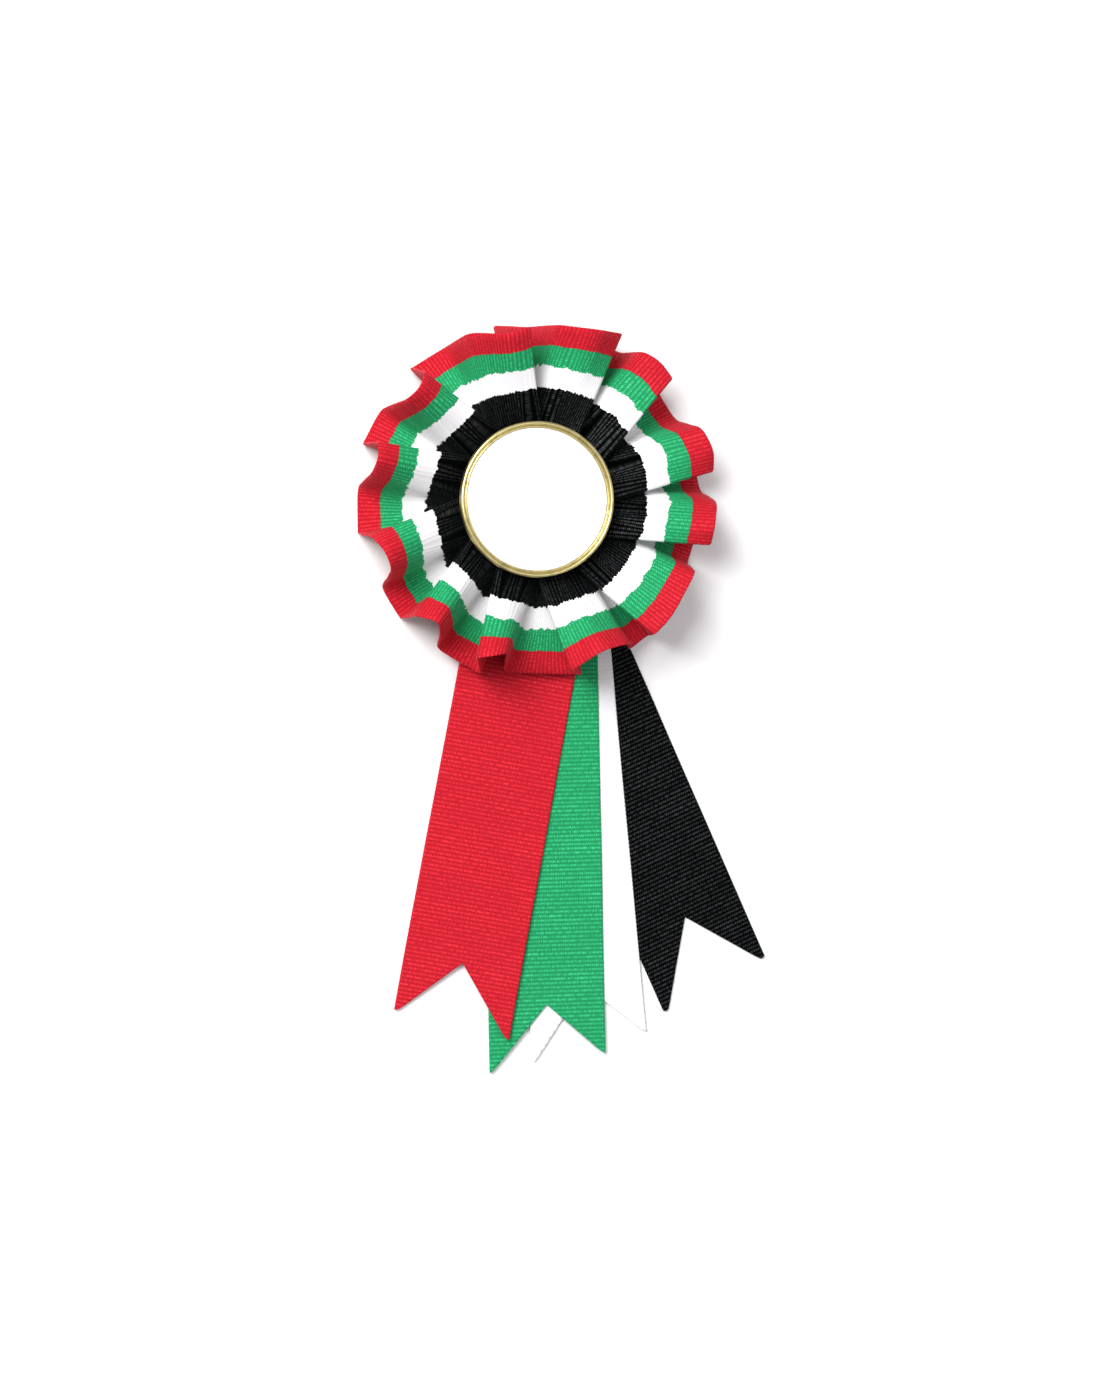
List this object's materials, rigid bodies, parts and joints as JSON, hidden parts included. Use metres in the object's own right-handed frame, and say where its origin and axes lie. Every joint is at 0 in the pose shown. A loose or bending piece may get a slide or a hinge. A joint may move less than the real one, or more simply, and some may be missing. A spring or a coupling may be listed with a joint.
{
  "type": "ribbon cockade",
  "caption": "Round badge in a knife-pleated ribbon rosette with swallow-tailed ribbon tails, pinned on with a brooch bar behind.",
  "frame": {"origin": "middle of the brooch bar's flat foot, on the surface that the cockade lies on, under the middle of the badge", "axes": "+Z the face, +Y the top of the badge, tails towards -Y"},
  "size_m": [0.0897, 0.1598, 0.026],
  "materials": {
    "steel": "plain nickel-plated steel",
    "felt": "matt black felt",
    "brass": "pale brass, polished, a little worn",
    "insert": "bare white card, satin",
    "striped_ribbon": "ribbed grosgrain, black, white, green and red stripes",
    "black_ribbon": "ribbed grosgrain",
    "white_ribbon": "ribbed grosgrain",
    "green_ribbon": "ribbed grosgrain",
    "red_ribbon": "ribbed grosgrain"
  },
  "bodies": {
    "root": {"brooch_pin": "steel", "back_disc": "felt", "badge_rim": "brass", "badge_disc": "insert", "ruffle": "striped_ribbon", "black_tail": "black_ribbon", "white_tail": "white_ribbon", "green_tail": "green_ribbon", "red_tail": "red_ribbon"}
  },
  "joints": []
}
